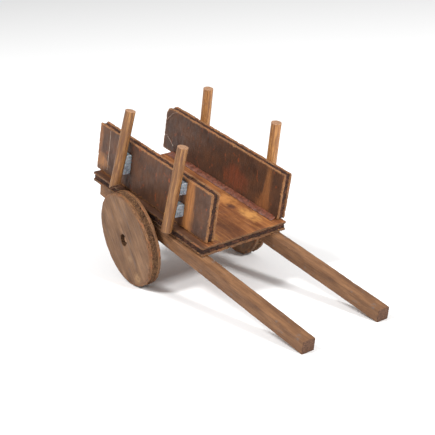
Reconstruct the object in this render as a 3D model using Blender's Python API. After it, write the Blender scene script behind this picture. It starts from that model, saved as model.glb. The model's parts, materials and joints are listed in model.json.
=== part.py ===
# A weathered two-wheeled wooden cart, hand-made at toy scale.
# It is built in the cart's own frame: origin at the centre of the floor's top
# face, +X forward to the shaft tips, +Y to the cart's left, +Z square to the
# floor. One empty then tips all of it nose-down, as it parks on its two
# wheels and the tips of its shafts.

import math

import bmesh
import bpy
from mathutils import Matrix, Vector

# Lengths are written in millimetres and multiplied by this into metres.
MM = 0.001

# How it stands
PITCH = math.radians(14.25)
STAND = Vector((-20.095, -1.464, 24.913))

# Three-ply sheet, used for the floor and the side boards
PLY = 3.0
VENEER = 0.75
CORE_RECESS = 0.28

# Floor
FLOOR_LENGTH = 55.3
FLOOR_WIDTH = 32.2

# Gap left between pieces that touch
TOUCH = 0.02

# Side boards: name, outer face at the foot (y), lean per height, side it
# faces (-1 right, 1 left), outline as (x, z) from the rear foot round
BOARDS = {
    "right_side_board": (
        -13.8, 0.052, -1,
        [(-29.3, 0.0), (26.3, 0.0), (26.2, 15.3), (-29.2, 15.4)],
    ),
    "left_side_board": (
        17.05, 0.040, 1,
        [(-31.6, 0.0), (25.9, 0.0), (25.9, 14.8), (-29.6, 14.8),
         (-30.8, 14.1), (-31.5, 12.6)],
    ),
}

# Shafts
SHAFT_WIDTH = 4.15
SHAFT_HEIGHT = 4.0
SHAFT_EDGE = 0.35
SHAFT_REAR = -24.4
SHAFT_TIP = 73.9

# Shafts: name, outer side at x = 0 (y), sideways run per length, side
SHAFTS = (
    ("right_shaft", -16.4, -0.042, -1),
    ("left_shaft", 15.0, -0.032, 1),
)

# Stakes
STAKE_RADIUS = 1.6
STAKE_CHAMFER = 0.25
STAKE_SIDES = 24

# Stakes: name, foot centre, top centre, rise of the foot's cut per x
STAKES = {
    "right_rear_stake": ((-13.7, -17.72, 1.35), (-13.7, -13.4, 25.7), 0.8),
    "right_front_stake": ((13.2, -17.92, -1.1), (13.2, -14.4, 25.3), 0.1),
    "left_rear_stake": ((-17.4, 19.32, -0.6), (-17.4, 19.32, 25.5), 0.0),
    "left_front_stake": ((14.9, 19.32, -0.6), (14.9, 19.32, 26.6), 0.0),
}

# Glue between stake and board: name, stake, board, lower and upper height
WEBS = (
    ("right_rear_stake_glue", "right_rear_stake", "right_side_board", 5.4, 11.8),
    ("right_front_stake_glue_upper", "right_front_stake", "right_side_board", 10.6, 14.4),
    ("right_front_stake_glue_lower", "right_front_stake", "right_side_board", 3.6, 7.6),
    ("left_rear_stake_glue", "left_rear_stake", "left_side_board", 1.5, 13.5),
    ("left_front_stake_glue", "left_front_stake", "left_side_board", 1.5, 13.5),
)

# Glue beads inside the boards' feet: name, board, from x, to x, width, height
BEADS = (
    ("right_board_glue", "right_side_board", -26.5, 24.5, 1.6, 1.1),
    ("left_board_glue", "left_side_board", -26.5, 25.2, 2.3, 1.0),
)

# Wheels
WHEEL_RADIUS = 14.9
WHEEL_THICKNESS = 4.0
WHEEL_VENEER = 1.15
WHEEL_CORE_RECESS = 0.3
WHEEL_SIDES = 56

# Hub hole, measured from the hub: least and greatest radius
HOLE_LEAST = 1.75
HOLE_MOST = 2.75

# Wheels: name, centre, axis pointing outwards, hub from the centre as
# (back, down) in the wheel's plane
WHEELS = {
    "right_wheel": ((-2.25, -19.1, -10.78), (-0.094, -1.0, -0.109), (1.0, 0.65)),
    "left_wheel": ((-0.5, 21.8, -10.35), (0.125, 1.0, 0.10), (0.0, 0.0)),
}

# Axle and the strip that carries it under the shafts
AXLE_RADIUS = 1.25
AXLE_SIDES = 20
AXLE_PAST_CENTRE = 1.0
STRIP_LENGTH = 9.0
STRIP_THICKNESS = 2.0
STRIP_ENDS = (-15.6, 15.0)

# Glue that holds the axle: name, where along y it lies
SADDLES = (("axle_glue_right", -12.0), ("axle_glue_left", 11.5))
SADDLE_LENGTH = 6.0


def clear_scene():
    for item in list(bpy.data.objects):
        bpy.data.objects.remove(item, do_unlink=True)


def material(name, colour, roughness):
    made = bpy.data.materials.new(name)
    made.use_nodes = True
    shader = made.node_tree.nodes["Principled BSDF"]
    shader.inputs["Base Color"].default_value = (*colour, 1.0)
    shader.inputs["Roughness"].default_value = roughness
    shader.inputs["Metallic"].default_value = 0.0
    return made


def place(name, verts, faces, colour, roughness=0.7, smooth=False):
    """One closed mesh, in millimetres of its own frame, under the cart."""
    mesh = bpy.data.meshes.new(name)
    mesh.from_pydata([Vector(v) * MM for v in verts], [], faces)
    work = bmesh.new()
    work.from_mesh(mesh)
    bmesh.ops.recalc_face_normals(work, faces=work.faces)
    work.to_mesh(mesh)
    work.free()
    for face in mesh.polygons:
        face.use_smooth = smooth and len(face.vertices) == 4
    item = bpy.data.objects.new(name, mesh)
    bpy.context.scene.collection.objects.link(item)
    item.data.materials.append(material(name + "_skin", colour, roughness))
    item.parent = CART
    return item


def loft(rings):
    """Faces through rings of equal length, with a cap at each end."""
    count = len(rings[0])
    verts = [point for ring in rings for point in ring]
    faces = [list(range(count))[::-1]]
    for level in range(len(rings) - 1):
        low = level * count
        for i in range(count):
            j = (i + 1) % count
            faces.append([low + i, low + j, low + count + j, low + count + i])
    faces.append([len(verts) - count + i for i in range(count)])
    return verts, faces


def inset(outline, distance):
    """The outline moved inwards, for an outline that runs left about."""
    moved = []
    for i, point in enumerate(outline):
        here = Vector(point)
        before = (here - Vector(outline[i - 1])).normalized()
        after = (Vector(outline[(i + 1) % len(outline)]) - here).normalized()
        left = Vector((-before.y, before.x)) + Vector((-after.y, after.x))
        moved.append(here + left * (distance / (left.length_squared / 2)))
    return [(p.x, p.y) for p in moved]


def ply_rings(outline, thickness, veneer, recess):
    """Outline rings of a three-ply sheet, from one face to the other."""
    core = inset(outline, recess)
    levels = (
        (0.0, outline), (veneer, outline), (veneer, core),
        (thickness - veneer, core), (thickness - veneer, outline),
        (thickness, outline),
    )
    return [[(u, v, depth) for u, v in ring] for depth, ring in levels]


def board_outer(name, height):
    """The y of a side board's outer face at a height."""
    foot, lean, side, outline = BOARDS[name]
    return foot + lean * height


def stake_point(name, height):
    """The centre of a stake at a height."""
    foot, top, cut = STAKES[name]
    foot, top = Vector(foot), Vector(top)
    return foot + (top - foot) * ((height - foot.z) / (top.z - foot.z))


def build_floor():
    half_l, half_w = FLOOR_LENGTH / 2, FLOOR_WIDTH / 2
    outline = [(-half_l, -half_w), (half_l, -half_w), (half_l, half_w), (-half_l, half_w)]
    rings = ply_rings(outline, PLY, VENEER, CORE_RECESS)
    floor = place("floor_board", *loft(rings), (0.36, 0.19, 0.09))
    floor.location.z = -PLY * MM


def build_side_boards():
    for name, (foot, lean, side, outline) in BOARDS.items():
        rings = ply_rings(outline, PLY, VENEER, CORE_RECESS)
        board = place(name, *loft(rings), (0.16, 0.075, 0.045))
        # The sheet stands on its foot, leaned over, and its thickness runs to
        # the cart's right: out from the inner face of the right board, and in
        # from the outer face of the left one.
        along = Vector((1.0, 0.0, 0.0))
        up = Vector((0.0, lean, 1.0)).normalized()
        through = along.cross(up)
        board.rotation_euler = Matrix((along, up, through)).transposed().to_euler()
        start = Vector((0.0, foot, 0.0))
        if side < 0:
            start -= through * PLY
        start.z = TOUCH
        board.location = start * MM


def build_shafts():
    half_w, half_h = SHAFT_WIDTH / 2, SHAFT_HEIGHT / 2
    section = [(-half_w, -half_h), (half_w, -half_h), (half_w, half_h), (-half_w, half_h)]
    for name, outer, run, side in SHAFTS:
        rings = [[(x, y, z) for y, z in section] for x in (SHAFT_REAR, SHAFT_TIP)]
        shaft = place(name, *loft(rings), (0.25, 0.15, 0.08))
        shaft.rotation_euler.z = math.atan(run)
        middle = outer - side * half_w
        shaft.location = Vector((0.0, middle, -PLY - TOUCH - half_h)) * MM
        bevel = shaft.modifiers.new("worn_edges", "BEVEL")
        bevel.width = SHAFT_EDGE * MM
        bevel.segments = 2
        bevel.limit_method = "ANGLE"


def circle(radius, sides):
    turns = [2 * math.pi * i / sides for i in range(sides)]
    return [(radius * math.cos(t), radius * math.sin(t)) for t in turns]


def build_stakes():
    for name, (foot, top, cut) in STAKES.items():
        foot, top = Vector(foot), Vector(top)
        axis = (top - foot).normalized()
        turn = axis.to_track_quat("Z", "Y").to_matrix()
        length = (top - foot).length
        wide = circle(STAKE_RADIUS, STAKE_SIDES)
        narrow = circle(STAKE_RADIUS - STAKE_CHAMFER, STAKE_SIDES)
        rings = []
        for (level, ring) in ((0.0, wide), (length - STAKE_CHAMFER, wide), (length, narrow)):
            points = [turn @ Vector((u, v, level)) for u, v in ring]
            if level == 0.0:
                points = [p + axis * (cut * p.x / axis.z) for p in points]
            rings.append(points)
        stake = place(name, *loft(rings), (0.45, 0.24, 0.10), smooth=True)
        stake.location = foot * MM


def web_ring(stake, board, height, side):
    """One level of the glue between a stake and a board."""
    centre = stake_point(stake, height)
    radius = (STAKE_RADIUS * 1.016 + TOUCH) / math.cos(math.radians(12.5))
    wall = board_outer(board, height) + side * 2 * TOUCH
    ring = []
    for degrees in (30, 55, 80, 105):
        angle = math.radians(degrees)
        ring.append((centre.x + radius * math.cos(angle),
                     centre.y - side * radius * math.sin(angle), height))
    ring.append((centre.x - 0.7, wall, height))
    ring.append((centre.x + 2.0, wall, height))
    return ring if side < 0 else ring[::-1]


def build_webs():
    for name, stake, board, low, high in WEBS:
        side = BOARDS[board][2]
        rings = []
        for step in range(4):
            rings.append(web_ring(stake, board, low + (high - low) * step / 3, side))
        place(name, *loft(rings), (0.42, 0.42, 0.42), roughness=0.3)


def build_beads():
    for name, board, start, end, width, height in BEADS:
        foot, lean, side, outline = BOARDS[board]
        wall = foot - side * (PLY + 3 * TOUCH)
        profile = ((0.0, 0.0), (1.0, 0.0), (0.62, 0.5), (0.0, 1.0))
        rings = []
        for x in (start, end):
            ring = []
            for across, up in profile:
                z = TOUCH + up * height
                y = wall - side * across * width + (lean * up * height if across == 0.0 else 0.0)
                ring.append((x, y, z))
            rings.append(ring)
        place(name, *loft(rings), (0.40, 0.17, 0.09), roughness=0.3)


def wheel_frame(name):
    """The hub's place and the turn that takes Z to the wheel's axis."""
    centre, axis, (back, down) = WHEELS[name]
    axis = Vector(axis).normalized()
    ahead = Vector((1.0, 0.0, 0.0))
    ahead = (ahead - axis * ahead.dot(axis)).normalized()
    above = axis.cross(ahead)
    if above.z < 0:
        above = -above
    hub = Vector(centre) - ahead * back - above * down
    turn = Matrix((ahead, axis.cross(ahead), axis)).transposed()
    rise = 1.0 if axis.cross(ahead).z > 0 else -1.0
    return hub, turn, rise


def build_wheels():
    half = WHEEL_THICKNESS / 2
    for name, (centre, axis, (back, down)) in WHEELS.items():
        hub, turn, rise = wheel_frame(name)
        outer, core, hole = [], [], []
        for i in range(WHEEL_SIDES):
            angle = 2 * math.pi * i / WHEEL_SIDES
            c, s = math.cos(angle), math.sin(angle)
            outer.append((back + WHEEL_RADIUS * c, rise * down + WHEEL_RADIUS * s))
            inner = WHEEL_RADIUS - WHEEL_CORE_RECESS
            core.append((back + inner * c, rise * down + inner * s))
            lean = 0.5 - 0.5 * math.cos(angle - rise * math.radians(32))
            wide = HOLE_LEAST + (HOLE_MOST - HOLE_LEAST) * lean ** 2
            hole.append((wide * c, wide * s))
        edge = half - WHEEL_VENEER
        levels = ((-half, hole), (-half, outer), (-edge, outer), (-edge, core),
                  (edge, core), (edge, outer), (half, outer), (half, hole))
        rings = [[(u, v, depth) for u, v in ring] for depth, ring in levels]
        verts, faces = loft(rings)
        last = len(rings) - 1
        faces = faces[1:-1]
        for i in range(WHEEL_SIDES):
            j = (i + 1) % WHEEL_SIDES
            high = last * WHEEL_SIDES
            faces.append([high + i, high + j, j, i])
        wheel = place(name, verts, faces, (0.30, 0.19, 0.11))
        wheel.rotation_euler = turn.to_euler()
        wheel.location = hub * MM


def axle_line():
    """Both ends of the axle and its direction, from the right hub's side."""
    right, left = wheel_frame("right_wheel")[0], wheel_frame("left_wheel")[0]
    way = (left - right).normalized()
    return right - way * AXLE_PAST_CENTRE, left + way * AXLE_PAST_CENTRE, way


def build_axle():
    right, left, way = axle_line()
    length = (left - right).length
    ring = circle(AXLE_RADIUS, AXLE_SIDES)
    rings = [[(u, v, level) for u, v in ring] for level in (0.0, length)]
    axle = place("axle", *loft(rings), (0.38, 0.24, 0.13), smooth=True)
    axle.rotation_euler = way.to_track_quat("Z", "Y").to_euler()
    axle.location = right * MM

    top = -PLY - SHAFT_HEIGHT - 2 * TOUCH
    start, end = STRIP_ENDS
    middle = (right + (left - right) * 0.5).x
    half = STRIP_LENGTH / 2
    section = [(middle - half, top - STRIP_THICKNESS), (middle + half, top - STRIP_THICKNESS),
               (middle + half, top), (middle - half, top)]
    rings = [[(x, y, z) for x, z in section] for y in (end, start)]
    place("axle_strip", *loft(rings), (0.32, 0.19, 0.10))


def build_saddles():
    """Glue over the axle, up to the strip, with the axle's round cut out."""
    right, left, way = axle_line()
    under = -PLY - SHAFT_HEIGHT - 3 * TOUCH - STRIP_THICKNESS
    for name, across in SADDLES:
        rings = []
        for y in (across + SADDLE_LENGTH / 2, across - SADDLE_LENGTH / 2):
            centre = right + way * ((y - right.y) / way.y)
            radius = (AXLE_RADIUS * 1.01 + TOUCH) / math.cos(math.radians(17.5))
            ring = [(centre.x - 3.1, y, under), (centre.x - 1.9, y, centre.z - 0.5)]
            for degrees in (190, 155, 120, 90, 60, 25, -10):
                angle = math.radians(degrees)
                ring.append((centre.x + radius * math.cos(angle), y,
                             min(centre.z + radius * math.sin(angle), under - 0.12)))
            ring += [(centre.x + 1.9, y, centre.z - 0.5), (centre.x + 3.1, y, under)]
            rings.append(ring)
        place(name, *loft(rings), (0.42, 0.40, 0.36), roughness=0.3)


clear_scene()
CART = bpy.data.objects.new("cart", None)
bpy.context.scene.collection.objects.link(CART)
CART.rotation_euler = (0.0, PITCH, 0.0)
CART.location = STAND * MM
build_floor()
build_side_boards()
build_shafts()
build_stakes()
build_webs()
build_beads()
build_wheels()
build_axle()
build_saddles()
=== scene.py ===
# %% [markdown]
# # A weathered toy cart
# This lesson dresses a small two-wheeled cart, hand-made from plywood
# offcuts, square sticks and bamboo skewers. A imported model gives the true
# shapes and places; here each plain solid is swapped for a piece with worn
# edges, torn fibres and stain. We load that model first.

# %% Load the imported model
import json
import math
import random

import bmesh
import bpy
import numpy
from mathutils import Euler, Matrix, Vector, geometry, noise


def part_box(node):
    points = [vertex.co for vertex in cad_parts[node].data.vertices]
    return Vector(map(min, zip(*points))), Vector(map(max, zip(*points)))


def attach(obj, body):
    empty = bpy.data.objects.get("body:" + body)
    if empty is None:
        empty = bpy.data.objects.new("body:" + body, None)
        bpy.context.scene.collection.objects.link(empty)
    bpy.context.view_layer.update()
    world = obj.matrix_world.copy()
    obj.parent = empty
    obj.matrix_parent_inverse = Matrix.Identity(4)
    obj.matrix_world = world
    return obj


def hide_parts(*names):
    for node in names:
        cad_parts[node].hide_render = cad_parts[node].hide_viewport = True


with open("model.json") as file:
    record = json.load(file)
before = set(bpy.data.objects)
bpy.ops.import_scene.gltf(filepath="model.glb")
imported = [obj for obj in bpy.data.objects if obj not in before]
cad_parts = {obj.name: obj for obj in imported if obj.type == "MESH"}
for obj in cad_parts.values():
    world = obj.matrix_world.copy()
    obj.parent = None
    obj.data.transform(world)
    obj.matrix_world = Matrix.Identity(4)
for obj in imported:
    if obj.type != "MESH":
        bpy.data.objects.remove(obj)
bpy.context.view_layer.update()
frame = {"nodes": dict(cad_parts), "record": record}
nodes = frame["nodes"]
MM = 0.001

# %% [markdown]
# The photograph was taken from close by with a long lens, from the cart's
# front right. The camera's place was worked out once from the corners of the
# floor, so it is written as a place, a heading, a drop and a slight roll.
# The lens is the one that a 36 mm wide sensor needs to see the same cone.

# %% Camera
CAMERA_PLACE = Vector((239.31, -194.52, 118.92)) * MM
CAMERA_HEADING = math.radians(51.79)
CAMERA_DROP = math.radians(17.46)
CAMERA_ROLL = math.radians(-3.86)
LENS = 90.71

camera = bpy.data.objects.new("camera", bpy.data.cameras.new("camera"))
bpy.context.scene.collection.objects.link(camera)
camera.data.lens = LENS
camera.data.sensor_width = 36.0
camera.data.clip_start = 0.01
camera.location = CAMERA_PLACE
aim = Euler((math.pi / 2 - CAMERA_DROP, 0.0, CAMERA_HEADING), "XYZ").to_matrix()
camera.rotation_euler = (aim @ Matrix.Rotation(CAMERA_ROLL, 3, "Z")).to_euler()
bpy.context.scene.camera = camera
print("camera stands", round(camera.location.length / MM), "mm from the cart's middle")

# %% [markdown]
# The cart parks nose-down, so none of its pieces is square to the world. We
# read the tilt back from the floor board: the flat side that looks up gives
# "up", and the other two directions follow. From here on every piece gets
# axes of its own, with its wood's grain along one of them, so that a
# material can say "along the grain" and be right on each piece.

# %% The cart's own axes
SIDEWAYS = Vector((0, 1, 0))


def axes(first, second, third, origin):
    """A placement whose own x, y and z run along three directions."""
    turn = Matrix((first, second, third)).transposed().to_4x4()
    turn.translation = origin
    return turn


def flat_side(node, toward):
    """The direction that the node's flat side nearest to `toward` faces."""
    total = Vector()
    for face in nodes[node].data.polygons:
        if face.normal.dot(toward) > 0.9:
            total += face.normal * face.area
    return total.normalized()


def seen_from(node, place):
    """The node's points in the axes of a placement."""
    back = place.inverted()
    return [back @ corner.co for corner in nodes[node].data.vertices]


def reach(node, place):
    """Lowest and highest corner of the node in the axes of a placement."""
    seen = seen_from(node, place)
    low = Vector([min(p[i] for p in seen) for i in range(3)])
    high = Vector([max(p[i] for p in seen) for i in range(3)])
    return low, high


up = flat_side("floor_board", Vector((0, 0, 1)))
ahead = SIDEWAYS.cross(up).normalized()
untilted = axes(ahead, SIDEWAYS, up, Vector())
low, high = reach("floor_board", untilted)
CART = axes(ahead, SIDEWAYS, up, untilted @ Vector(((low.x + high.x) / 2, (low.y + high.y) / 2, high.z)))


def spot(x, y, z, place=None):
    """A place given in the cart's own millimetres, in a piece's axes."""
    world = CART @ (Vector((x, y, z)) * MM)
    return place.inverted() @ world if place else world


print("nose-down by", round(math.degrees(math.asin(-ahead.z)), 2), "degrees")

# %% [markdown]
# Almost everything here is a loop of points carried along: round the edge
# of a sheet, round a wheel's rim, along a stick, along a thread of glue. So
# one helper joins loops into a skin. It notes for each band of faces which
# finish it has, and keeps a number at each point that tells a material how
# far in from a worn edge that point lies.

# %% Join loops of points into a skin
def skin_loops(name, loops, kinds, insets=None, ring=False):
    """A mesh through `loops`, capped by fans unless it closes as a ring."""
    count = len(loops[0])
    points = [p for loop in loops for p in loop]
    inset = [i for loop_inset in (insets or [1.0] * len(loops)) for i in [loop_inset] * count]
    faces, finish = [], []
    last = len(loops) if ring else len(loops) - 1
    for k in range(last):
        a, b = k * count, ((k + 1) % len(loops)) * count
        for i in range(count):
            j = (i + 1) % count
            faces.append((a + i, a + j, b + j, b + i))
            finish.append(kinds[k])
    if not ring:
        for start, kind in ((0, kinds[0]), ((len(loops) - 1) * count, kinds[-1])):
            middle = sum((points[start + i] for i in range(count)), Vector()) / count
            points.append(middle)
            inset.append(inset[start])
            for i in range(count):
                faces.append((start + i, start + (i + 1) % count, len(points) - 1))
                finish.append(kind)
    mesh = bpy.data.meshes.new(name)
    mesh.from_pydata(points, [], faces)
    mesh.polygons.foreach_set("material_index", finish)
    mesh.attributes.new("inset", "FLOAT", "POINT").data.foreach_set("value", inset)
    return mesh


def tidy_skin(mesh, sharp=50):
    """Turn all faces outward and shade them smoothly between sharp edges."""
    work = bmesh.new()
    work.from_mesh(mesh)
    bmesh.ops.recalc_face_normals(work, faces=work.faces)
    work.to_mesh(mesh)
    work.free()
    mesh.shade_smooth()
    mesh.set_sharp_from_angle(angle=math.radians(sharp))
    return mesh


def piece(name, mesh, place, body, finishes, stands_for=()):
    """Put a finished mesh in its place, on its body, with its finishes."""
    own = [number for corner in mesh.vertices for number in corner.co]
    mesh.attributes.new("own_axes", "FLOAT_VECTOR", "POINT").data.foreach_set("vector", own)
    mesh.transform(place)
    thing = bpy.data.objects.new(name, mesh)
    bpy.context.scene.collection.objects.link(thing)
    for finish in finishes:
        mesh.materials.append(finish)
    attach(thing, body)
    if stands_for:
        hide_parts(*stands_for)
    print(name, "has", len(mesh.polygons), "faces")
    return thing


def bumps(point, size, seed=0.0, octaves=2):
    """Smooth unevenness between about -1 and 1, with features `size` mm wide."""
    sizes = size if hasattr(size, "__len__") else (size, size, size)
    where = Vector([point[i] / (sizes[i] * MM) for i in range(3)]) + Vector((seed, 2 * seed, -seed))
    return noise.fractal(where, 1.0, 2.0, octaves)


# %% [markdown]
# Before the pieces come the finishes. Each one is built from a few layers:
# broad stain blotches, streaks along the grain, dark pores, and wear. A
# small recipe helper keeps that readable. Sizes are given in millimetres
# along the piece's own axes, so a streak is simply a spot that is very long
# in one direction.

# %% A recipe for a finish
def paint(red, green, blue):
    """A colour as a screen shows it (0 to 255), in the shader's own scale."""
    scaled = [c / 255 for c in (red, green, blue)]
    return tuple(c / 12.92 if c < 0.04045 else ((c + 0.055) / 1.055) ** 2.4 for c in scaled) + (1.0,)


class Recipe:
    """A finish being mixed: every method adds one layer and returns it."""

    def __init__(self, name, roughness=0.6, sheen_level=0.4):
        self.skin = bpy.data.materials.new(name)
        self.skin.use_nodes = True
        self.tree = self.skin.node_tree
        self.shader = self.tree.nodes["Principled BSDF"]
        self.shader.inputs["Roughness"].default_value = roughness
        self.shader.inputs["Specular IOR Level"].default_value = sheen_level
        self.own = self.node("Attribute", attribute_name="own_axes").outputs["Vector"]
        self.normal = None

    def node(self, kind, **values):
        made = self.tree.nodes.new("ShaderNode" + kind)
        for key, value in values.items():
            setattr(made, key, value)
        return made

    def feed(self, socket, value):
        if isinstance(value, bpy.types.NodeSocket):
            self.tree.links.new(value, socket)
        elif value is not None:
            socket.default_value = value

    def stretched(self, size, seed=0.0):
        """The piece's own coordinates, scaled so that 1 is `size` mm."""
        made = self.node("Mapping")
        self.feed(made.inputs["Vector"], self.own)
        made.inputs["Scale"].default_value = [1 / (s * MM) for s in size]
        made.inputs["Location"].default_value = (seed, seed * 1.7, -seed)
        return made.outputs[0]

    def clouds(self, size, seed=0.0, detail=3.0, rough=0.55, swirl=0.0):
        """Soft cloudy spots of about `size` mm, from 0 to 1."""
        made = self.node("TexNoise")
        self.feed(made.inputs["Vector"], self.stretched(size, seed))
        made.inputs["Scale"].default_value = 1.0
        made.inputs["Detail"].default_value = detail
        made.inputs["Roughness"].default_value = rough
        made.inputs["Distortion"].default_value = swirl
        return made.outputs["Fac"]

    def between(self, value, low, high, to_low=0.0, to_high=1.0):
        """Where `value` runs from low to high, run from to_low to to_high."""
        made = self.node("MapRange", interpolation_type="SMOOTHSTEP")
        self.feed(made.inputs["Value"], value)
        limits = {"From Min": low, "From Max": high, "To Min": to_low, "To Max": to_high}
        for socket, number in limits.items():
            made.inputs[socket].default_value = number
        return made.outputs["Result"]

    def sum(self, first, second, kind="MULTIPLY"):
        made = self.node("Math", operation=kind)
        self.feed(made.inputs[0], first)
        self.feed(made.inputs[1], second)
        return made.outputs[0]

    def tones(self, value, *stops):
        """Colours laid along 0 to 1: each stop is a place and a colour."""
        made = self.node("ValToRGB")
        ramp = made.color_ramp
        while len(ramp.elements) < len(stops):
            ramp.elements.new(0.5)
        for element, (place, colour) in zip(ramp.elements, stops):
            element.position = place
            element.color = colour
        self.feed(made.inputs["Fac"], value)
        return made.outputs["Color"]

    def over(self, mask, below, above, way="MIX"):
        """Lay one colour over another where the mask is white."""
        made = self.node("Mix", data_type="RGBA", blend_type=way)
        self.feed(made.inputs["Factor"], mask)
        self.feed(made.inputs[6], below)
        self.feed(made.inputs[7], above)
        return made.outputs[2]

    def patch(self, centre, size, wander=0.35, seed=0.0, soft=0.5):
        """A mask around one place: 1 inside an oval of `size` mm, 0 outside."""
        made = self.node("Mapping")
        self.feed(made.inputs["Vector"], self.own)
        scale = [1 / (s * MM) for s in size]
        made.inputs["Scale"].default_value = scale
        made.inputs["Location"].default_value = [-c * s for c, s in zip(centre, scale)]
        length = self.node("VectorMath", operation="LENGTH")
        self.feed(length.inputs[0], made.outputs[0])
        ragged = self.sum(self.clouds([s * 0.45 for s in size], seed), 0.5, "SUBTRACT")
        moved = self.sum(length.outputs["Value"], self.sum(ragged, wander * 4), "ADD")
        return self.between(moved, 1.0 - soft, 1.0 + soft, 1.0, 0.0)

    def edge_distance(self):
        """Millimetres in from the worn edge, as the mesh says."""
        return self.node("Attribute", attribute_name="inset").outputs["Fac"]

    def relief(self, height, depth):
        """Add a layer of fine relief, `depth` mm deep."""
        made = self.node("Bump")
        made.inputs["Strength"].default_value = 1.0
        made.inputs["Distance"].default_value = depth * MM
        self.feed(made.inputs["Height"], height)
        self.feed(made.inputs["Normal"], self.normal)
        self.normal = made.outputs["Normal"]

    def done(self, colour, roughness=None):
        self.feed(self.shader.inputs["Base Color"], colour)
        self.feed(self.shader.inputs["Roughness"], roughness)
        if self.normal:
            self.feed(self.shader.inputs["Normal"], self.normal)
        return self.skin

# %% [markdown]
# The side boards are stained a dark purplish brown. Thin upright streaks
# follow the grain, a few reddish specks show where the stain took less, and
# toward the edges the stain is rubbed off. Where a glue patch or a hand kept
# the stain away, a golden band is left; each board has its own.

# %% Finish of the boards' faces
def board_face(name, bands):
    """Dark stain; `bands` are lighter patches as (centre, size in mm)."""
    mix = Recipe(name, sheen_level=0.35)
    blotch = mix.clouds((9, 7, 9), 3.1, detail=2)
    colour = mix.tones(blotch, (0.3, paint(68, 46, 35)), (0.5, paint(84, 57, 42)), (0.72, paint(102, 67, 46)))
    streak = mix.clouds((0.35, 7, 0.35), 5.7, detail=4, rough=0.6)
    colour = mix.over(mix.between(streak, 0.45, 0.75, 0, 0.35), colour, paint(60, 42, 33))
    colour = mix.over(mix.between(streak, 0.5, 0.3, 0, 0.22), colour, paint(112, 74, 50))
    ruddy = mix.clouds((1.3, 2.6, 1.3), 8.8, detail=4)
    colour = mix.over(mix.between(ruddy, 0.6, 0.72, 0, 0.6), colour, paint(150, 76, 40))
    for number, (centre, size, shade) in enumerate(bands):
        mask = mix.patch(centre, size, seed=number * 3.3)
        mask = mix.sum(mask, mix.between(streak, 0.3, 0.62, 1.0, 0.55))
        colour = mix.over(mask, colour, shade)
    rub = mix.sum(mix.edge_distance(), mix.clouds((0.8, 0.8, 0.8), 2.2, detail=4), "SUBTRACT")
    colour = mix.over(mix.between(rub, -0.55, 0.05, 0.75, 0.0), colour, paint(168, 116, 72))
    pores = mix.clouds((0.11, 1.5, 0.11), 1.4, detail=2)
    colour = mix.over(mix.between(pores, 0.6, 0.74, 0, 0.5), colour, paint(44, 28, 24))
    mix.relief(streak, 0.05)
    mix.relief(pores, -0.03)
    mix.relief(mix.clouds((2.5, 5, 2.5), 4.4), 0.12)
    rough = mix.between(mix.clouds((1.2, 3, 1.2), 6.2), 0.3, 0.7, 0.42, 0.7)
    return mix.done(colour, rough)


# %% [markdown]
# The cut edges of plywood show its build: two thin tan veneers and between
# them a core of end grain. Sawn by hand and rubbed by years of handling, the
# veneers' edges are golden with dark nicks, and the core has soaked up stain
# until it is nearly black, with rust-brown tufts where fibres stand proud.

# %% Finish of the plywood's edges
def veneer_edge(name, light=1.0):
    mix = Recipe(name, sheen_level=0.35)
    streak = mix.clouds((2.6, 2.6, 0.16), 7.7, detail=5, rough=0.65)
    colour = mix.tones(streak, (0.28, paint(62, 42, 29)), (0.46, paint(116 * light, 78 * light, 48 * light)),
                       (0.62, paint(152 * light, 106 * light, 64 * light)), (0.8, paint(184, 136, 84)))
    nicks = mix.clouds((0.5, 0.5, 0.22), 3.9, detail=4)
    colour = mix.over(mix.between(nicks, 0.58, 0.7, 0, 0.85), colour, paint(52, 34, 26))
    ruddy = mix.clouds((3, 3, 1), 9.3)
    colour = mix.over(mix.between(ruddy, 0.5, 0.7, 0, 0.55), colour, paint(146, 86, 50))
    mix.relief(streak, 0.08)
    mix.relief(nicks, -0.06)
    return mix.done(colour, 0.62)


def core_edge(name, tuft=paint(126, 74, 42), deep=paint(30, 20, 18)):
    mix = Recipe(name, sheen_level=0.25)
    grit = mix.clouds((0.35, 0.35, 0.16), 1.9, detail=5, rough=0.7)
    colour = mix.tones(grit, (0.36, deep), (0.52, paint(74, 46, 34)), (0.66, tuft))
    patchy = mix.clouds((2.6, 2.6, 1.5), 6.6, detail=3)
    colour = mix.over(mix.between(patchy, 0.42, 0.62, 0.75, 0.0), colour, deep)
    mix.relief(grit, 0.14)
    return mix.done(colour, 0.8)
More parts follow.
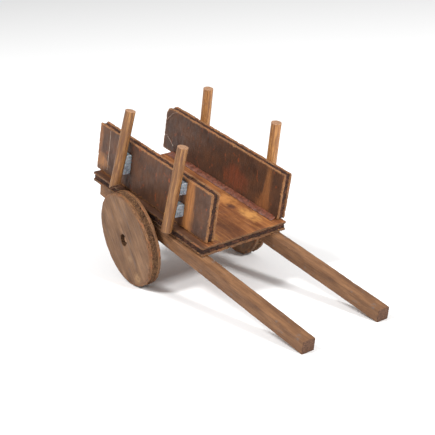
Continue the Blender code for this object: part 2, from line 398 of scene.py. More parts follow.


# %% [markdown]
# The floor took an orange-brown stain, which goes redder and darker toward
# the back and along the left board's foot. Near the front are bright gold
# spots: the two on the left half are a painted pool of light, where the side
# light falls past the right board's shadow, and one more lies inside the
# right board's front end. The narrow ledge outside the right board is painted
# dark brown, partly glue and partly painted shade at the board's foot.

# %% Finish of the floor's faces
def floor_face():
    mix = Recipe("floor_face", sheen_level=0.4)
    blotch = mix.clouds((10, 5, 8), 2.4, detail=3)
    colour = mix.tones(blotch, (0.3, paint(98, 58, 34)), (0.5, paint(124, 76, 44)),
                       (0.68, paint(150, 96, 54)))
    streak = mix.clouds((8, 0.4, 0.4), 4.5, detail=5, rough=0.62)
    colour = mix.over(mix.between(streak, 0.45, 0.7, 0, 0.5), colour, paint(96, 52, 30))
    colour = mix.over(mix.between(streak, 0.5, 0.3, 0, 0.45), colour, paint(204, 140, 80))
    # The first two spots are a painted pool of light past the right board's shadow; the third is a bright
    # spot and the last a dark one.
    for centre, size, shade, seed in (((19, 9, 0), (4.5, 2.2, 3), paint(186, 132, 74), 1.1),
                                      ((8, 9, 0), (4, 3, 3), paint(172, 116, 64), 2.1),
                                      ((22, -9.5, 0), (4, 1.4, 3), paint(180, 128, 72), 3.1),
                                      ((12, 7.4, 0), (1.6, 1.2, 3), paint(74, 46, 34), 4.1)):
        colour = mix.over(mix.patch([c * MM for c in centre], size, seed=seed), colour, shade)
    # Painted shade: the ledge outside the right board is darkened, partly for glue and partly for the shade
    # at the board's foot.
    ledge_glue_and_shade = mix.patch((-1 * MM, -16 * MM, 0), (34, 2.9, 9), wander=0.08, seed=6.1, soft=0.15)
    colour = mix.over(mix.sum(ledge_glue_and_shade, 0.85), colour, paint(66, 45, 34))
    grime = mix.clouds((4, 4, 4), 7.9, detail=4)
    colour = mix.over(mix.between(grime, 0.55, 0.75, 0, 0.6), colour, paint(84, 48, 34))
    pores = mix.clouds((1.4, 0.1, 0.1), 1.4, detail=2)
    colour = mix.over(mix.between(pores, 0.6, 0.72, 0, 0.5), colour, paint(66, 38, 26))
    mix.relief(streak, 0.06)
    mix.relief(mix.clouds((5, 2.5, 2.5), 4.4), 0.12)
    rough = mix.between(mix.clouds((2, 2, 2), 6.2), 0.3, 0.7, 0.36, 0.62)
    return mix.done(colour, rough)


# %% [markdown]
# Three-ply sheet comes next. We walk round the sheet's outline in small
# steps and at each step go across its thickness: over the worn rim of one
# veneer, down into the recessed core, up over the other veneer. Real relief
# is put into the points, not only into the finish: waves and chips along
# the veneers, and a rough torn core.

# %% Outline of a sheet, and loops across its thickness
PLY_PARTS = 4.0       # a veneer is this fraction of the sheet's thickness
CORE_RECESS = 0.28
WORN = 0.16           # how far the veneers' outer corners are rounded
STEP = 0.26           # spacing of points along an outline, mm


def walk(corners, step):
    """Even steps round a closed run of corners, with its corners eased."""
    path = []
    for a, b in zip(corners, corners[1:] + corners[:1]):
        count = max(1, round((b - a).length / step))
        path += [a.lerp(b, i / count) for i in range(count)]
    for _ in range(3):
        path = [(path[i - 1] + path[i] * 2 + path[(i + 1) % len(path)]) / 4 for i in range(len(path))]
    return path


def outline_of(node, place):
    seen = [(p.x, p.y) for p in seen_from(node, place)]
    corners = [Vector((*seen[i], 0.0)) for i in geometry.convex_hull_2d(seen)]
    return walk(corners, STEP * MM)


def outward(path):
    """At each point of an anticlockwise outline, the way out of it."""
    ways = []
    for i in range(len(path)):
        run = path[(i + 1) % len(path)] - path[i - 1]
        ways.append(Vector((run.y, -run.x, 0)).normalized())
    return ways


def sheet_loops(path, thick, seed, torn=1.0):
    """Loops over a sheet from its lower face, round its edge, to its upper."""
    ways = outward(path)
    half, veneer = thick / 2, thick / PLY_PARTS / MM
    low_x, high_x = min(p.x for p in path), max(p.x for p in path)
    low_y, high_y = min(p.y for p in path), max(p.y for p in path)
    middle = Vector(((low_x + high_x) / 2, (low_y + high_y) / 2, 0))

    def shrunk(p, inset):
        """The point moved in with the whole outline, so corners never fold."""
        keep_x = 1 - 2 * inset * MM / (high_x - low_x)
        keep_y = 1 - 2 * inset * MM / (high_y - low_y)
        return Vector((middle.x + (p.x - middle.x) * keep_x, middle.y + (p.y - middle.y) * keep_y, 0))

    thick_mm = thick / MM
    rows = [(1.5, 0.0), (0.8, 0.0), (0.4, 0.0), (WORN, 0.02), (WORN * 0.35, WORN * 0.35), (0.0, WORN)]
    rows += [(0.0, WORN + (veneer - 2 * WORN) * f) for f in (0.33, 0.66, 1.0)]
    rows += [(0.05, veneer - 0.05), (CORE_RECESS * 0.7, veneer)]
    core = [(CORE_RECESS, veneer + 0.05 + (thick_mm - 2 * veneer - 0.1) * f / 12) for f in range(13)]
    stations = rows + core + [(inset, thick_mm - height) for inset, height in reversed(rows)]
    loops, kinds, insets = [], [], []
    for share in (0.2, 0.45, 0.7, 0.88):
        loops.append([middle.lerp(shrunk(p, 1.5), share) - Vector((0, 0, half)) for p in path])
        kinds.append(0)
        insets.append(2.5)
    for inset, height in stations:
        loop = []
        in_core = veneer < height < thick_mm - veneer
        for p, way in zip(path, ways):
            where = p + Vector((0, 0, height * MM))
            moved, lift = 0.0, 0.0
            if in_core:
                moved += torn * (0.26 * bumps(where, 0.7, seed) + 0.16 * bumps(where, 0.3, seed + 5))
            elif inset < 0.5:
                moved += 0.12 * bumps(where, (1.4, 1.4, 0.6), seed + 9)
                moved += torn * 0.8 * max(0.0, bumps(where, (0.8, 0.8, 0.5), seed + 2) - 0.3)
            if inset >= WORN * 0.3 and not in_core:
                lift = 0.03 * bumps(where, (2.2, 2.2, 9), seed + 4)
            loop.append(shrunk(p, inset) - way * moved * MM + Vector((0, 0, (height + lift) * MM - half)))
        loops.append(loop)
        kinds.append(0 if inset > WORN * 0.3 and not in_core and (height < 0.1 or height > thick_mm - 0.1)
                     else 2 if in_core else 1)
        insets.append(inset)
    for share in (0.88, 0.7, 0.45, 0.2):
        loops.append([middle.lerp(shrunk(p, 1.5), share) + Vector((0, 0, half)) for p in path])
        kinds.append(0)
        insets.append(2.5)
    return loops, kinds, insets


# %% [markdown]
# A side board leans outward a little. Its own x runs forward, y up the
# board along the grain, and z through it toward the cart's right.

# %% Side boards
BOARD_MARKS = {
    # board: lighter patches as (x, y, z in the cart, size, colour)
    "right_side_board": (
        ((-27.0, -13.6, 3.6), (3.2, 2.4, 0.8), paint(156, 106, 64)),
        ((16.8, -13.6, 8.0), (2.2, 12, 0.8), paint(176, 116, 64)),
        ((-23.7, -13.3, 9.0), (0.12, 7, 0.8), paint(150, 130, 110)),
        ((-28.4, -13.3, 11), (1.2, 5, 0.8), paint(140, 92, 58)),
    ),
    "left_side_board": (
        ((19.5, 14.3, 6.0), (1.4, 10, 0.8), paint(152, 100, 60)),
        ((18.6, 14.2, 1.0), (3.0, 4, 0.8), paint(140, 90, 54)),
        ((5.4, 14.3, 5.0), (5.0, 4, 0.8), paint(122, 66, 44)),
    ),
}

edge_finish = veneer_edge("veneer_edge")
core_finish = core_edge("core_edge")


def board_place(node):
    across = flat_side(node, SIDEWAYS)
    along = (ahead - across * ahead.dot(across)).normalized()
    loose = axes(along, across.cross(along) * -1, -across, Vector())
    low, high = reach(node, loose)
    return axes(along, across.cross(along) * -1, -across, loose @ ((low + high) / 2)), high - low


for number, (node, marks) in enumerate(BOARD_MARKS.items()):
    place, size = board_place(node)
    face = board_face(node + "_face", [(spot(*c, place), s, shade) for c, s, shade in marks])
    loops, kinds, insets = sheet_loops(outline_of(node, place), size.z, seed=11.3 * (number + 1))
    mesh = tidy_skin(skin_loops(node + "_worn", loops, kinds, insets))
    piece(node + "_worn", mesh, place, "cart", (face, edge_finish, core_finish), (node,))

# %% [markdown]
# The floor is the same kind of sheet lying flat.

# %% Floor board
floor_edge = veneer_edge("floor_veneer_edge", 0.8)
low, high = reach("floor_board", CART)
floor_place = axes(ahead, SIDEWAYS, up, CART @ ((low + high) / 2))
floor_outline = outline_of("floor_board", floor_place)
loops, kinds, insets = sheet_loops(floor_outline, high.z - low.z, seed=47.1, torn=1.2)
mesh = tidy_skin(skin_loops("floor_board_worn", loops, kinds, insets))
piece("floor_board_worn", mesh, floor_place, "cart",
      (floor_face(), floor_edge, core_finish), ("floor_board",))

# %% [markdown]
# Wheels: three-ply discs with a ragged rim. Their finish is paler and
# greyer than the boards, since nobody stained them: bare wood gone dry.

# %% Finish of the wheels
def wheel_face(name, knots):
    mix = Recipe(name, sheen_level=0.25)
    blotch = mix.clouds((4, 9, 5), 5.1, detail=4, swirl=0.4)
    colour = mix.tones(blotch, (0.3, paint(94, 66, 46)), (0.5, paint(118, 86, 61)),
                       (0.7, paint(138, 104, 76)))
    streak = mix.clouds((0.45, 9, 0.6), 3.7, detail=5, rough=0.65, swirl=0.2)
    colour = mix.over(mix.between(streak, 0.48, 0.7, 0, 0.7), colour, paint(74, 52, 38))
    colour = mix.over(mix.between(streak, 0.46, 0.3, 0, 0.5), colour, paint(152, 120, 88))
    grey = mix.clouds((1.1, 8, 1.1), 9.4, detail=3, swirl=0.5)
    colour = mix.over(mix.between(grey, 0.56, 0.72, 0, 0.6), colour, paint(92, 84, 82))
    for number, (centre, size, shade) in enumerate(knots):
        colour = mix.over(mix.patch(centre, size, seed=number * 2.3, wander=0.4, soft=0.8), colour, shade)
    rub = mix.sum(mix.edge_distance(), mix.clouds((0.6, 0.6, 0.6), 2.2, detail=4), "SUBTRACT")
    colour = mix.over(mix.between(rub, -0.5, 0.2, 0.7, 0.0), colour, paint(120, 84, 58))
    pores = mix.clouds((0.13, 1.4, 0.13), 1.4, detail=3)
    colour = mix.over(mix.between(pores, 0.58, 0.72, 0, 0.6), colour, paint(84, 62, 48))
    mix.relief(streak, 0.12)
    mix.relief(pores, -0.05)
    mix.relief(mix.clouds((2, 4, 2), 4.4), 0.25)
    return mix.done(colour, 0.72)


def crumbly_rim(name):
    mix = Recipe(name, sheen_level=0.25)
    grit = mix.clouds((0.28, 0.28, 0.28), 1.9, detail=5, rough=0.75)
    colour = mix.tones(grit, (0.3, paint(40, 26, 18)), (0.46, paint(78, 54, 38)), (0.6, paint(120, 86, 56)),
                       (0.76, paint(196, 156, 96)))
    dark = mix.clouds((2, 2, 1.4), 6.6, detail=3)
    colour = mix.over(mix.between(dark, 0.48, 0.66, 0, 0.6), colour, paint(62, 40, 28))
    mix.relief(grit, 0.2)
    return mix.done(colour, 0.85)


# %% [markdown]
# A wheel's loops run the whole way round its section like a ring: in over
# the outer face to the hub hole, through it, out over the inner face and
# back over the rim. The hole is whittled off-centre, so each spoke of points
# runs from the true rim to the hole's own uneven edge.

# %% Wheels
RIM_STEPS = 620
GRAIN_SLANT = math.radians(38)
# hub holes: off-centre ahead and up in mm before the slant, and how uneven
HUB = {"right_wheel": (-1.0, -0.65, 0.32), "left_wheel": (0.0, 0.0, 0.15)}


def wheel_place(node, joint):
    out = Vector(joint["axis"]).normalized()
    if out.y * Vector(joint["pos_m"]).y < 0:
        out = -out
    along = (ahead - out * ahead.dot(out)).normalized()
    along = Matrix.Rotation(GRAIN_SLANT, 3, out) @ along
    loose = axes(along, out.cross(along), out, Vector())
    low, high = reach(node, loose)
    return axes(along, out.cross(along), out, loose @ ((low + high) / 2)), high - low


def wheel_loops(size, hub, seed):
    radius, thick = (size.x + size.y) / 4 / MM, size.z / MM
    veneer, recess = 1.15, 0.3
    back, down, hub_wild = hub
    hub_x = back * math.cos(GRAIN_SLANT) + down * math.sin(GRAIN_SLANT)
    hub_y = down * math.cos(GRAIN_SLANT) - back * math.sin(GRAIN_SLANT)

    def rim_at(turn, height):
        far = Vector((math.cos(turn), math.sin(turn), 0)) * 15
        flat = 0.16 * bumps(far * MM, 7, seed) + 0.07 * bumps(far * MM, 1.5, seed + 3)
        return radius - 0.12 + min(0.1, flat)

    def hub_at(turn):
        around = Vector((math.cos(turn), math.sin(turn), 0))
        broad = 1.2 * bumps(around * MM * 3, 3, seed)
        width = 1.95 + hub_wild * (broad + 0.6 * bumps(around * MM * 3, 0.9, seed + 1))
        return Vector((hub_x, hub_y, 0)) + around * max(1.55, width)

    turns = [2 * math.pi * i / RIM_STEPS for i in range(RIM_STEPS)]
    hubs = [hub_at(t) for t in turns]
    stations = []
    spokes = (0.0, 0.012, 0.04, 0.09, 0.16, 0.25, 0.36, 0.48, 0.6, 0.72, 0.83, 0.91, 0.96)
    for share in spokes:
        stations.append(("face", share, thick / 2))
    rim = [(0.35, 0.0), (0.2, 0.03), (0.08, 0.1), (0.0, 0.22)] + [(0.0, 0.22 + 0.15 * k) for k in range(1, 6)]
    rim += [(0.06, veneer - 0.04), (recess * 0.8, veneer + 0.02)]
    core = [(recess, veneer + 0.08 + (thick - 2 * veneer - 0.16) * k / 14) for k in range(15)]
    whole = rim + core + [(inset, thick - deep) for inset, deep in reversed(rim)]
    for inset, deep in whole:
        stations.append(("rim", inset, thick / 2 - deep))
    for share in reversed(spokes):
        stations.append(("face", share, -thick / 2))
    for k in range(1, 9):
        stations.append(("hub", 0.0, -thick / 2 + thick * k / 9))
    loops, kinds, insets = [], [], []
    for kind, number, height in stations:
        loop = []
        core_row = kind == "rim" and abs(height) < thick / 2 - veneer
        for turn, hole in zip(turns, hubs):
            around = Vector((math.cos(turn), math.sin(turn), 0))
            rim_point = around * rim_at(turn, height)
            where = Vector((rim_point.x, rim_point.y, height)) * MM
            if kind == "face":
                flat = hole.lerp(around * (rim_at(turn, height) - 0.35), number)
                lift = 0.10 * bumps(Vector((flat.x, flat.y, 0)) * MM, (3, 6, 3), seed) * min(1, number * 8)
                sink = 0.18 * max(0.0, 1 - number / 0.05)
                point = Vector((flat.x, flat.y, height + (lift - sink) * (1 if height > 0 else -1)))
            elif kind == "rim":
                inset = number
                if core_row:
                    inset += 0.5 * bumps(where, 0.8, seed + 6) + 0.3 * bumps(where, 0.32, seed + 7) - 0.12
                else:
                    inset += 0.10 * bumps(where, (1.2, 1.2, 0.8), seed + 8)
                    inset += 0.9 * max(0.0, bumps(where, (0.9, 0.9, 0.6), seed + 2) - 0.38)
                inset = max(inset, -0.18)
                point = Vector((rim_point.x, rim_point.y, height)) - around * inset
            else:
                rough = 0.12 * bumps(Vector((hole.x, hole.y, height)) * MM, 0.7, seed + 4)
                spoke = (hole - Vector((hub_x, hub_y, 0))).normalized()
                point = Vector((hole.x, hole.y, height)) - spoke * rough
            loop.append(point * MM)
        loops.append(loop)
        kinds.append(0 if kind == "face" else 2 if core_row or kind == "hub" else 1)
        insets.append(2.5 if kind == "face" and 0.03 < number < 0.95 else 0.3 if kind == "face" else 0.0)
    return loops, kinds, insets


rim_veneer = veneer_edge("wheel_veneer_edge", 0.85)
rim_core = crumbly_rim("crumbly_rim")
wheel_places = {}
for joint, seed in zip(frame["record"]["behaviour"]["joints"], (3.7, 8.9)):
    node = joint["child"]
    place, size = wheel_place(node, joint)
    wheel_places[node] = (place, size)
    knots = ()
    if node == "right_wheel":
        knots = ((spot(5.06, -20.72, -20.8, place), (1.7, 1.3, 2), paint(158, 124, 88)),
                 (spot(5.06, -20.72, -20.8, place), (0.7, 0.5, 2), paint(124, 92, 64)),
                 (spot(0.55, -20.81, -16.07, place), (1.3, 0.9, 2), paint(140, 110, 82)))
    face = wheel_face(node + "_face", knots)
    loops, kinds, insets = wheel_loops(size, HUB[node], seed)
    mesh = tidy_skin(skin_loops(node + "_worn", loops, kinds, insets, ring=True))
    piece(node + "_worn", mesh, place, node, (face, rim_veneer, rim_core), (node,))

# %% [markdown]
# Sticks, skewers, the strip and the dowel are all long pieces of one
# section. We find a node's long direction from its side faces (they all
# look square to it), take its section's size from its reach, and carry a
# worn section along it, with the cut ends rounded over.

# %% Long pieces
def long_place(node, rough, side):
    """Axes with z along the piece and y toward `side`, at its middle."""
    spread = numpy.zeros((3, 3))
    for face in nodes[node].data.polygons:
        if abs(face.normal.dot(rough)) < 0.35:
            n = numpy.array(face.normal)
            spread += numpy.outer(n, n) * face.area
    along = Vector(numpy.linalg.eigh(spread)[1][:, 0])
    if along.dot(rough) < 0:
        along = -along
    second = (side - along * side.dot(along)).normalized()
    first = second.cross(along)
    loose = axes(first, second, along, Vector())
    low, high = reach(node, loose)
    return axes(first, second, along, loose @ ((low + high) / 2)), high - low


def end_plane(node, place, way):
    """Where and how square the piece is cut at one end, in its own axes."""
    back = place.inverted()
    best = None
    for face in nodes[node].data.polygons:
        facing = (back.to_3x3() @ face.normal)
        if facing.z * way > 0.5 and (best is None or face.area > best.area):
            best = face
    centre = back @ best.center
    return centre, back.to_3x3() @ best.normal


END_EASE = 0.16


def height_on(centre, way, x, y):
    """Height at (x, y) of the plane through `centre` that faces `way`."""
    return centre.z - (way.x * (x - centre.x) + way.y * (y - centre.y)) / way.z


def long_loops(node, place, section, steps, wear, seed):
    """Loops of a worn section carried between the piece's two cut ends."""
    foot, foot_way = end_plane(node, place, -1)
    top, top_way = end_plane(node, place, 1)
    loops, kinds, insets = [], [], []
    ends = ((0.15, 0.0), (0.4, 0.0), (0.65, 0.0), (0.84, 0.0), (0.93, 0.02), (0.98, 0.07))
    plan = [(share, deep, 1, 0) for share, deep in ends]
    plan += [(1.0, 0.0, 0, k / steps) for k in range(steps + 1)]
    plan += [(share, deep, 1, 1) for share, deep in reversed(ends)]
    for share, deep, kind, along in plan:
        loop = []
        for a, b in section:
            low = height_on(foot, foot_way, a * share, b * share)
            high = height_on(top, top_way, a * share, b * share)
            ease = (END_EASE if kind == 0 else deep) * MM
            low += ease
            high -= ease
            point = Vector((a * share, b * share, low + (high - low) * along))
            if kind == 0:
                point = wear(point, seed)
            else:
                grit = 0.05 * MM * bumps(point, 0.5, seed)
                point = wear(point, seed) + Vector((0, 0, grit))
            loop.append(point)
        loops.append(loop)
        kinds.append(kind)
        insets.append(1.0)
    for k, kind in enumerate(kinds[:-1]):
        kinds[k] = 1 if kind or kinds[k + 1] else 0
    return loops, kinds, insets


def round_section(radius, count=44):
    return [(radius * math.cos(2 * math.pi * i / count), radius * math.sin(2 * math.pi * i / count))
            for i in range(count)]


def square_section(wide, tall, edge):
    """A rectangle with rounded corners, anticlockwise."""
    points = []
    for quarter in range(4):
        turn = quarter * math.pi / 2
        mx = (wide / 2 - edge) * (1 if quarter in (0, 3) else -1)
        my = (tall / 2 - edge) * (1 if quarter in (0, 1) else -1)
        for k in range(5):
            angle = turn + k / 4 * math.pi / 2
            points.append(Vector((mx + edge * math.cos(angle), my + edge * math.sin(angle), 0)))
    filled = []
    for k, a in enumerate(points):
        b = points[(k + 1) % len(points)]
        parts = max(1, round((b - a).length / (0.28 * MM)))
        filled += [a.lerp(b, i / parts) for i in range(parts)]
    return [(p.x, p.y) for p in filled]


# %% [markdown]
# Finishes for the long pieces: the shafts are a plain weathered brown with
# long grain and dark pores; the skewers are golden bamboo with dark lengthwise
# fibres; both are cut across, which shows a paler pink-brown end.

# %% Finish of sticks and skewers
def stick_side():
    mix = Recipe("stick_side", sheen_level=0.3)
    blotch = mix.clouds((3, 3, 12), 2.7, detail=3)
    colour = mix.tones(blotch, (0.3, paint(96, 65, 43)), (0.5, paint(116, 81, 54)), (0.7, paint(138, 99, 67)))
    streak = mix.clouds((0.4, 0.4, 9), 6.1, detail=5, rough=0.65)
    colour = mix.over(mix.between(streak, 0.46, 0.7, 0, 0.6), colour, paint(78, 53, 38))
    colour = mix.over(mix.between(streak, 0.46, 0.3, 0, 0.4), colour, paint(152, 112, 76))
    pores = mix.clouds((0.12, 0.12, 1.2), 3.3, detail=3)
    colour = mix.over(mix.between(pores, 0.58, 0.7, 0, 0.75), colour, paint(70, 46, 32))
    smudge = mix.clouds((2.2, 2.2, 3), 9.9, detail=4)
    colour = mix.over(mix.between(smudge, 0.6, 0.72, 0, 0.55), colour, paint(104, 96, 92))
    mix.relief(streak, 0.1)
    mix.relief(pores, -0.06)
    return mix.done(colour, 0.66)


def cut_end(name, light, mid, dark):
    mix = Recipe(name, sheen_level=0.25)
    speck = mix.clouds((0.3, 0.3, 0.6), 4.1, detail=5, rough=0.7)
    colour = mix.tones(speck, (0.3, dark), (0.5, mid), (0.68, light))
    mix.relief(speck, 0.1)
    return mix.done(colour, 0.75)


def skewer_side(name, seed, gold=1.0):
    mix = Recipe(name, sheen_level=0.45)
    streak = mix.clouds((0.5, 0.5, 9), seed, detail=4, rough=0.6)
    colour = mix.tones(streak, (0.28, paint(90, 58, 36)), (0.44, paint(128 * gold, 86 * gold, 50 * gold)),
                       (0.58, paint(160 * gold, 112 * gold, 64 * gold)), (0.76, paint(196, 148, 90)))
    fibre = mix.clouds((0.14, 0.14, 3.5), seed + 3, detail=3)
    colour = mix.over(mix.between(fibre, 0.5, 0.64, 0, 0.7), colour, paint(88, 54, 36))
    smudge = mix.clouds((1.4, 1.4, 2.6), seed + 7, detail=3)
    colour = mix.over(mix.between(smudge, 0.56, 0.72, 0, 0.5), colour, paint(112, 74, 56))
    mix.relief(streak, 0.08)
    mix.relief(fibre, -0.05)
    rough = mix.between(smudge, 0.3, 0.7, 0.38, 0.62)
    return mix.done(colour, rough)


# %% Shafts, stakes, strip and dowel
def stick_wear(point, seed):
    corner = max(0.0, abs(point.x * point.y) / (2 * MM) ** 2 - 0.45)
    rub = 0.10 * bumps(point, (1.5, 1.5, 5), seed) * MM
    rub += corner * 0.25 * MM * max(0, bumps(point, (3, 3, 2), seed + 2))
    groove = 0.03 * MM * bumps(point, (0.35, 0.35, 6), seed + 4)
    side = Vector((point.x, point.y, 0))
    return point - side.normalized() * (rub * 0.5 + groove)


def skewer_wear(point, seed):
    side = Vector((point.x, point.y, 0))
    flats = 0.045 * bumps(Vector((side.x, side.y, point.z)), (1.6, 1.6, 14), seed)
    grooves = 0.022 * bumps(Vector((side.x, side.y, point.z)), (0.3, 0.3, 7), seed + 3)
    return point + side.normalized() * (flats + grooves) * MM


# the right stakes are darker than the left ones
GOLD = {"right": 0.9, "left": 1.12}
stick_finish = stick_side()
stick_end = cut_end("stick_end", paint(118, 84, 62), paint(84, 58, 43), paint(38, 26, 22))
skewer_end = cut_end("skewer_end", paint(182, 146, 116), paint(152, 114, 86), paint(100, 70, 52))

for number, node in enumerate(("right_shaft", "left_shaft")):
    place, size = long_place(node, ahead, up)
    section = square_section(size.x, size.y, 0.35 * MM)
    loops, kinds, insets = long_loops(node, place, section, 220, stick_wear, 5.1 + 7 * number)
    mesh = tidy_skin(skin_loops(node + "_worn", loops, kinds, insets), 40)
    piece(node + "_worn", mesh, place, "cart", (stick_finish, stick_end), (node,))

place, size = long_place("axle_strip", SIDEWAYS, up)
section = square_section(size.x, size.y, 0.25 * MM)
loops, kinds, insets = long_loops("axle_strip", place, section, 80, stick_wear, 31.0)
mesh = tidy_skin(skin_loops("axle_strip_worn", loops, kinds, insets), 40)
piece("axle_strip_worn", mesh, place, "cart", (stick_finish, stick_end), ("axle_strip",))

STAKES = ("right_rear_stake", "right_front_stake", "left_rear_stake", "left_front_stake")
for number, node in enumerate(STAKES):
    place, size = long_place(node, up, ahead)
    finish = skewer_side(node + "_side", 3.0 + number * 5.5, GOLD[node.split("_")[0]])
    section = round_section(min(size.x, size.y) / 2)
    loops, kinds, insets = long_loops(node, place, section, 90, skewer_wear, 2.0 + number)
    mesh = tidy_skin(skin_loops(node + "_worn", loops, kinds, insets), 40)
    piece(node + "_worn", mesh, place, "cart", (finish, skewer_end), (node,))

# %% [markdown]
# Hot glue joins stake to board in webs, runs along the boards' feet in
# beads and holds the dowel in lumps. A glue node's own solid is the start:
# a voxel remesh rounds it off, then the points are swollen unevenly.

# %% Finish of the glue
def clear_glue(name, tint, shade, gloss=0.25):
    mix = Recipe(name, sheen_level=0.6)
    cloud = mix.clouds((0.9, 0.9, 0.9), 3.3, detail=4)
    colour = mix.tones(cloud, (0.35, shade), (0.65, tint))
    mix.shader.inputs["Transmission Weight"].default_value = 0.1
    mix.shader.inputs["Subsurface Weight"].default_value = 0.2
    mix.shader.inputs["Subsurface Scale"].default_value = 0.5 * MM
    mix.relief(mix.clouds((1.8, 1.8, 1.8), 5.3, detail=1), 0.05)
    return mix.done(colour, mix.between(cloud, 0.3, 0.7, gloss, gloss + 0.25))


def lump(node, finish, voxel, swell, seed, body="cart"):
    """The node's solid, softened and swollen unevenly."""
    place = axes(ahead, SIDEWAYS, up, sum((Vector(c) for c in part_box(node)), Vector()) / 2)
    start = nodes[node].data.copy()
    start.materials.clear()
    start.transform(place.inverted())
    blank = bpy.data.objects.new(node + "_start", start)
    bpy.context.scene.collection.objects.link(blank)
    remesh = blank.modifiers.new("soften", "REMESH")
    remesh.mode = "VOXEL"
    remesh.voxel_size = voxel * MM
    smooth = blank.modifiers.new("ease", "SMOOTH")
    smooth.factor = 0.8
    smooth.iterations = 16
    mesh = bpy.data.meshes.new_from_object(blank.evaluated_get(bpy.context.evaluated_depsgraph_get()))
    mesh.name = node + "_lumpy"
    bpy.data.objects.remove(blank)
    ways = [v.normal.copy() for v in mesh.vertices]
    for corner, way in zip(mesh.vertices, ways):
        corner.co += way * swell * MM * bumps(corner.co, 2.4, seed, octaves=1)
    return piece(node + "_lumpy", tidy_skin(mesh, 80), place, body, (finish,), (node,))


# The webs' pale grey-blue is partly the glue's own whitish colour and partly painted reflection of the white
# surroundings on the glossy glue.
web_glue = clear_glue("web_glue", paint(142, 148, 154), paint(104, 108, 114), 0.2)
bead_glue = clear_glue("bead_glue", paint(120, 66, 44), paint(84, 46, 32), 0.28)
lump_glue = clear_glue("lump_glue", paint(168, 158, 146), paint(120, 108, 96))
STAKE_GLUE = ("right_rear_stake_glue", "right_front_stake_glue_upper",
              "right_front_stake_glue_lower", "left_rear_stake_glue", "left_front_stake_glue")
for number, node in enumerate(STAKE_GLUE):
    lump(node, web_glue, 0.12, 0.1, 4.0 + number)
for number, node in enumerate(("right_board_glue", "left_board_glue")):
    lump(node, bead_glue, 0.14, 0.22, 14.0 + number)
for number, node in enumerate(("axle_glue_right", "axle_glue_left")):
    lump(node, lump_glue, 0.16, 0.18, 24.0 + number)

# %% [markdown]
# The axle is one more skewer, dark with dirt. Its ends are thinned where
# they pass through the wheels, so that both wheels turn without touching it.

# %% Dowel
AXLE_RADIUS = 1.25
AXLE_END_RADIUS = 1.0


def dowel_wear(point, seed):
    """Skewer wear, and thin ends wherever the node itself is thin."""
    thin = AXLE_END_RADIUS / AXLE_RADIUS if abs(point.z) > thick_half else 1.0
    worn = skewer_wear(point, seed)
    return Vector((worn.x * thin, worn.y * thin, worn.z))


dowel_finish = skewer_side("dowel_side", 33.0, gold=0.55)
place, size = long_place("axle", SIDEWAYS, up)
thick_points = [abs(p.z) for p in seen_from("axle", place) if math.hypot(p.x, p.y) > 1.12 * MM]
thick_half = max(thick_points) - 0.3 * MM
loops, kinds, insets = long_loops("axle", place, round_section(AXLE_RADIUS * MM), 150, dowel_wear, 33.0)
mesh = tidy_skin(skin_loops("axle_worn", loops, kinds, insets), 40)
piece("axle_worn", mesh, place, "cart", (dowel_finish, skewer_end), ("axle",))
print("axle is thick for", round(2 * thick_half / MM, 1), "mm")

# %% [markdown]
# Hot glue leaves hair-thin threads where the gun was pulled away. Four show
# on the cart: two at the left board's rear corner, one lying down the right
# board and one off the left board's front end. Each is a thin tube along a
# few points, rooted on the wood.

# %% Glue threads
THREAD_RADIUS = 0.05
THREADS = (
    # name, points in the cart's own millimetres
    ("thread_left_rear_high",
     ((-31.4, 14.3, 9.5), (-29.5, 14.1, 11.8), (-27.7, 14.3, 13.9), (-25.3, 14.9, 14.9))),
    ("thread_left_rear_low", ((-30.4, 14.2, 5.4), (-28.2, 14.0, 4.4), (-26.3, 14.1, 2.7))),
    ("thread_right_board", ((-23.6, -13.05, 14.9), (-23.5, -13.3, 9.0), (-23.7, -13.75, 1.7))),
    ("thread_left_front", ((26.0, 16.4, 9.5), (26.9, 16.6, 7.0), (26.7, 16.5, 4.6))),
)


def thread_finish():
    mix = Recipe("thread_finish", roughness=0.3, sheen_level=0.6)
    tint = mix.clouds((1.2, 1.2, 1.2), 2.2, detail=3)
    colour = mix.tones(tint, (0.35, paint(148, 112, 92)), (0.65, paint(212, 196, 180)))
    mix.relief(tint, 0.02)
    return mix.done(colour)


def thread_loops(points):
    path = []
    for a, b in zip(points, points[1:]):
        path += [a.lerp(b, k / 8) for k in range(8)]
    path.append(points[-1])
    for _ in range(4):
        eased = [(path[i - 1] + path[i] * 2 + path[i + 1]) / 4 for i in range(1, len(path) - 1)]
        path = [path[0]] + eased + [path[-1]]
    loops = []
    for i, p in enumerate(path):
        run = (path[min(i + 1, len(path) - 1)] - path[max(i - 1, 0)]).normalized()
        side = run.orthogonal().normalized()
        other = run.cross(side)
        loops.append([p + (side * math.cos(t) + other * math.sin(t)) * THREAD_RADIUS * MM
                      for t in (k * math.pi / 3 for k in range(6))])
    return loops


glue_thread = thread_finish()
for name, points in THREADS:
    loops = thread_loops([Vector(p) * MM for p in points])
    mesh = tidy_skin(skin_loops(name, loops, [0] * len(loops)), 80)
    piece(name, mesh, CART, "cart", (glue_thread,))

# %% [markdown]
# The torn rims end in short fibres of core wood. Each is a thin tapered
# spike; a few hundred of them join into one piece for each wheel, rooted in
# the core and kept short, so that the wheel still clears the cart.

# %% Fibres on the rims
FIBRE_COUNT = 700
FIBRE_LENGTH = (0.15, 0.42)
FIBRE_WIDTH = (0.05, 0.11)


def spike(points, faces, root, way, length, width):
    """Add one three-sided spike to a growing mesh."""
    side = way.orthogonal().normalized()
    other = way.cross(side)
    first = len(points)
    for k in range(3):
        turn = 2 * math.pi * k / 3
        points.append(root + (side * math.cos(turn) + other * math.sin(turn)) * width / 2)
    points.append(root + way * length)
    faces += [(first, first + 1, first + 3), (first + 1, first + 2, first + 3),
              (first + 2, first, first + 3), (first, first + 2, first + 1)]


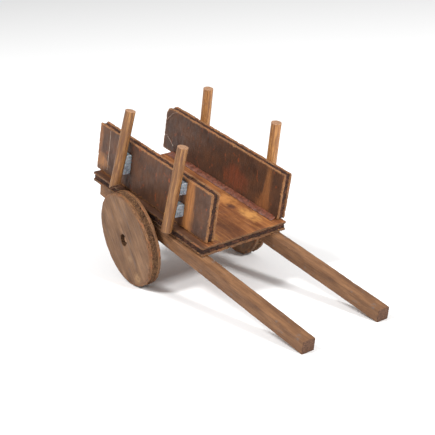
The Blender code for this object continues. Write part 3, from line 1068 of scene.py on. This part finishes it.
for node, (place, size) in wheel_places.items():
    rng = random.Random(node)
    points, faces = [], []
    radius = (size.x + size.y) / 4
    for _ in range(FIBRE_COUNT):
        turn = rng.uniform(0, 2 * math.pi)
        height = rng.uniform(-0.8, 0.8) * MM
        out = Vector((math.cos(turn), math.sin(turn), 0))
        way = (out + Vector([rng.uniform(-0.7, 0.7) for _ in range(3)])).normalized()
        root = out * (radius - 0.45 * MM) + Vector((0, 0, height))
        spike(points, faces, root, way, rng.uniform(*FIBRE_LENGTH) * MM, rng.uniform(*FIBRE_WIDTH) * MM)
    mesh = bpy.data.meshes.new(node + "_fibres")
    mesh.from_pydata(points, [], faces)
    piece(node + "_fibres", tidy_skin(mesh), place, node, (rim_core,))

# %% [markdown]
# The cart stands on white paper under two soft lights, one from its right
# side and one from straight ahead, with pale light all round. The paper is
# one big plane, far larger than the view, so no edge of it shows.

# %% Paper and light
PAPER_SIZE = 4.0

paper_mesh = bpy.data.meshes.new("paper")
half = PAPER_SIZE / 2
paper_mesh.from_pydata([(-half, -half, 0), (half, -half, 0), (half, half, 0), (-half, half, 0)], [],
                       [(0, 1, 2, 3)])
paper = bpy.data.objects.new("paper", paper_mesh)
bpy.context.scene.collection.objects.link(paper)
paper_skin = bpy.data.materials.new("paper_skin")
paper_skin.use_nodes = True
paper_skin.node_tree.nodes["Principled BSDF"].inputs["Base Color"].default_value = (0.95, 0.95, 0.95, 1)
paper_skin.node_tree.nodes["Principled BSDF"].inputs["Specular IOR Level"].default_value = 0.0
paper_mesh.materials.append(paper_skin)

world = bpy.data.worlds.new("studio")
world.use_nodes = True
world.node_tree.nodes["Background"].inputs["Color"].default_value = (1, 1, 1, 1)
world.node_tree.nodes["Background"].inputs["Strength"].default_value = 0.6
bpy.context.scene.world = world
bpy.context.scene.view_settings.view_transform = "Standard"


def soft_light(name, heading, height, distance, size, power, tint=(1, 1, 1)):
    """A square light looking at the cart from a heading and a height."""
    lamp = bpy.data.lights.new(name, "AREA")
    lamp.size, lamp.energy, lamp.color = size, power, tint
    thing = bpy.data.objects.new(name, lamp)
    bpy.context.scene.collection.objects.link(thing)
    turn, rise = math.radians(heading), math.radians(height)
    way = Vector((math.cos(turn) * math.cos(rise), math.sin(turn) * math.cos(rise), math.sin(rise)))
    thing.location = way * distance
    thing.rotation_euler = way.to_track_quat("Z", "Y").to_euler()
    return thing


# Where each light stands was read from the shadows' edges on the paper
SIDE_LIGHT = (-95.7, 55.0, 6.7)     # heading, height, watts
FRONT_LIGHT = (2.5, 32.5, 8.6)
soft_light("side_light", SIDE_LIGHT[0], SIDE_LIGHT[1], 1.0, 0.2, SIDE_LIGHT[2])
soft_light("front_light", FRONT_LIGHT[0], FRONT_LIGHT[1], 1.0, 0.13, FRONT_LIGHT[2])
